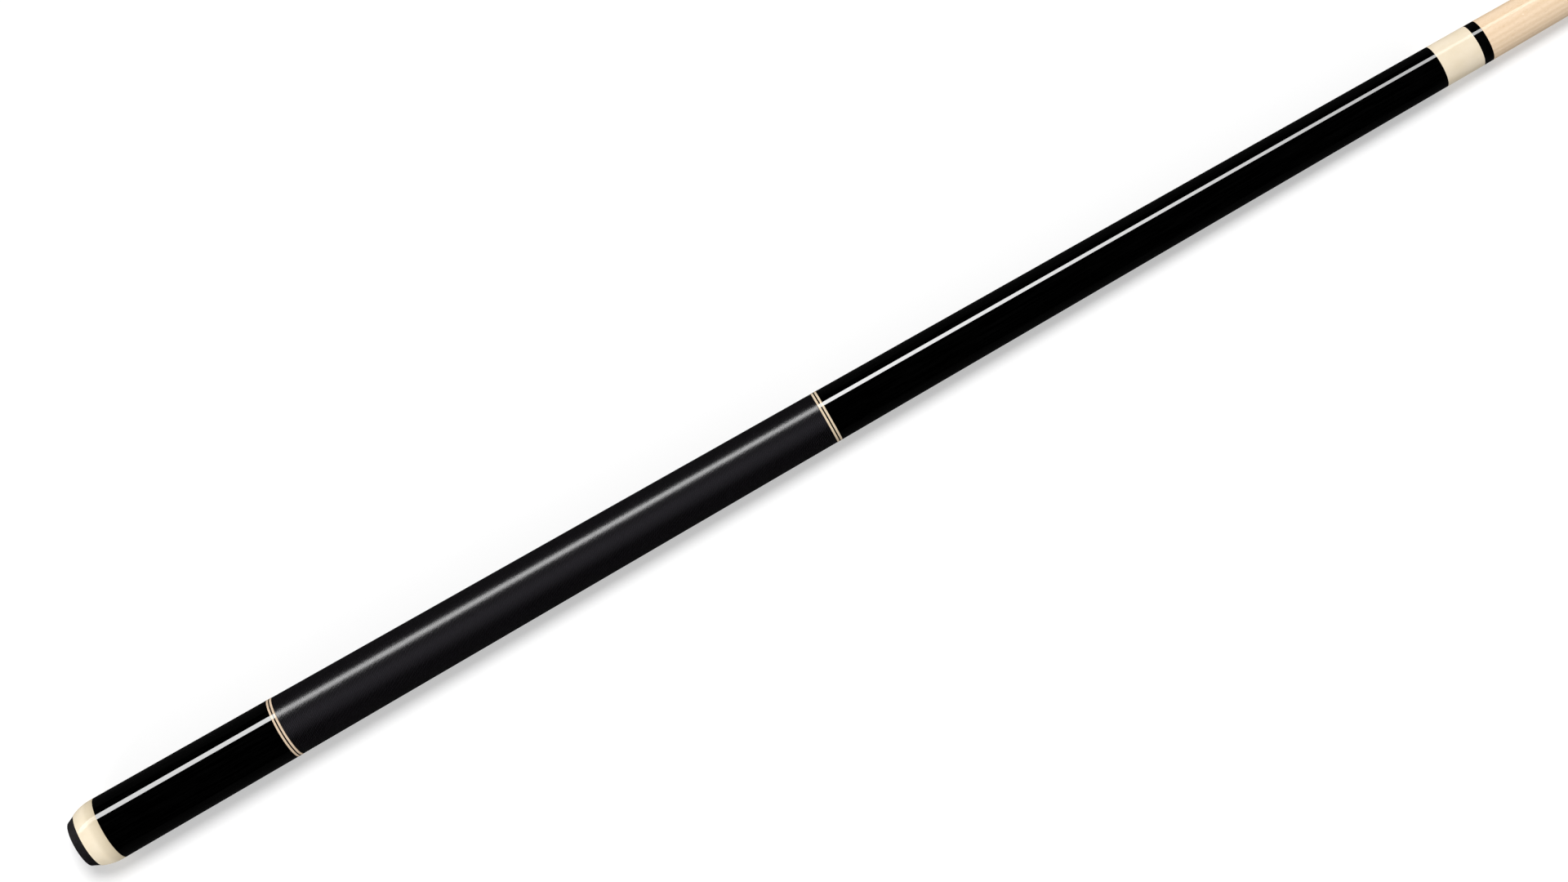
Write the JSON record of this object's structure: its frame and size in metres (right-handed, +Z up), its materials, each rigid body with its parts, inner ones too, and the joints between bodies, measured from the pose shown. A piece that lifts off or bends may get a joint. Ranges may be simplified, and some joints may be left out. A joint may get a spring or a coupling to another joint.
{
  "type": "pool cue",
  "caption": "Two-piece pool cue: black butt with linen wrap, cream cap, rings and joint collar, on a maple shaft that screws onto a threaded pin; the rubber bumper unscrews.",
  "frame": {"origin": "centre of the bumper's foot", "axes": "+X along the cue from the bumper to the tip, +Z up where the cue lies on a table"},
  "size_m": [1.4986, 0.032, 0.032],
  "materials": {
    "leather": "pressed, burnished side",
    "fibre": "satin",
    "ferrule_resin": "polished",
    "maple": "sealed satin, straight grain",
    "maple_core": "bare",
    "black_lacquer": "black stain under high gloss lacquer",
    "black_resin": "polished",
    "cream_resin": "polished",
    "ring_cream": "polished",
    "linen": "pressed linen thread",
    "rubber": "matte",
    "steel": "machined",
    "brass": "machined"
  },
  "bodies": {
    "butt": {"joint_pin": "steel", "joint_collar": "cream_resin", "forearm": "black_lacquer", "front_ring_forearm_side": "ring_cream", "front_ring_spacer": "black_resin", "front_ring_wrap_side": "ring_cream", "forearm_stud": "steel", "handle_core": "maple_core", "linen_wrap": "linen", "rear_ring_wrap_side": "ring_cream", "rear_ring_spacer": "black_resin", "rear_ring_sleeve_side": "ring_cream", "butt_sleeve": "black_lacquer", "butt_cap": "cream_resin", "tail_insert": "brass", "weight_bolt": "steel"},
    "collar": {"shaft_collar": "black_resin"},
    "shaft": {"shaft": "maple", "shaft_insert": "brass", "ferrule": "ferrule_resin", "tip_pad": "fibre", "tip": "leather"},
    "bumper": {"bumper": "rubber"},
    "stud": {"bumper_stud": "steel"}
  },
  "joints": [
    {"name": "shaft_draw", "type": "slide", "parent": "butt", "child": "collar", "axis": [1, 0, 0], "range_m": [0, 0.0254]},
    {"name": "shaft_turn", "type": "hinge", "parent": "collar", "child": "shaft", "pos_m": [0.762, 0, 0], "axis": [1, 0, 0], "range_deg": [0, 2880.5]},
    {"name": "bumper_draw", "type": "slide", "parent": "butt", "child": "bumper", "axis": [-1, 0, 0], "range_m": [0, 0.014]},
    {"name": "bumper_turn", "type": "hinge", "parent": "bumper", "child": "stud", "pos_m": [0, 0, 0], "axis": [-1, 0, 0], "range_deg": [0, 2880.5]}
  ],
  "couplings": [
    {"joint": "shaft_turn", "follows": "shaft_draw", "rad_per_m": 1979},
    {"joint": "bumper_turn", "follows": "bumper_draw", "rad_per_m": 3590.4}
  ]
}
